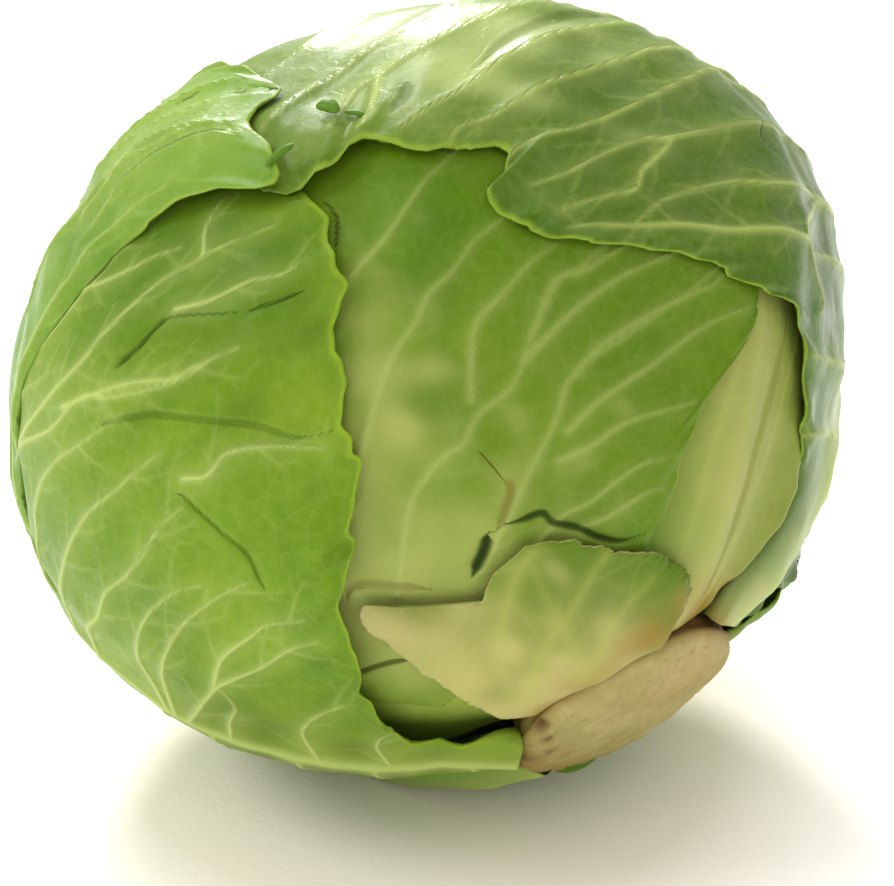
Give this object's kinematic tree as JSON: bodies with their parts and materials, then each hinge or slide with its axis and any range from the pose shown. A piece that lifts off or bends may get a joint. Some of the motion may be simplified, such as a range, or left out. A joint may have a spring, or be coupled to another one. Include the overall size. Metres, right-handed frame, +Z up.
{
  "type": "cabbage head",
  "caption": "Firm round head of green cabbage, cut from its root and lying on its side, with veined wrapper leaves over a dense heart.",
  "frame": {"origin": "centre of the head's bounding box, at the height of the spot it rests on", "axes": "+Z up; the cut stump faces -Y and +X and dips below level, as the head lies in the picture, and the crown points the other way"},
  "size_m": [0.187, 0.1848, 0.1825],
  "materials": {
    "heart": "satin",
    "stump": "matte",
    "leaf_inner": "satin",
    "leaf_pale": "satin",
    "leaf_centre": "satin",
    "leaf_wrapper": "satin",
    "leaf_top": "satin"
  },
  "bodies": {
    "root": {"heart": "heart", "stump": "stump", "leaf_back_inner": "leaf_inner", "leaf_lower_inner": "leaf_inner", "leaf_right_inner": "leaf_pale", "leaf_centre": "leaf_centre", "leaf_centre_base": "leaf_pale", "leaf_left_wrapper": "leaf_wrapper", "leaf_top_wrapper": "leaf_top", "leaf_back_right": "leaf_wrapper", "leaf_back_wrapper": "leaf_wrapper"}
  },
  "joints": []
}
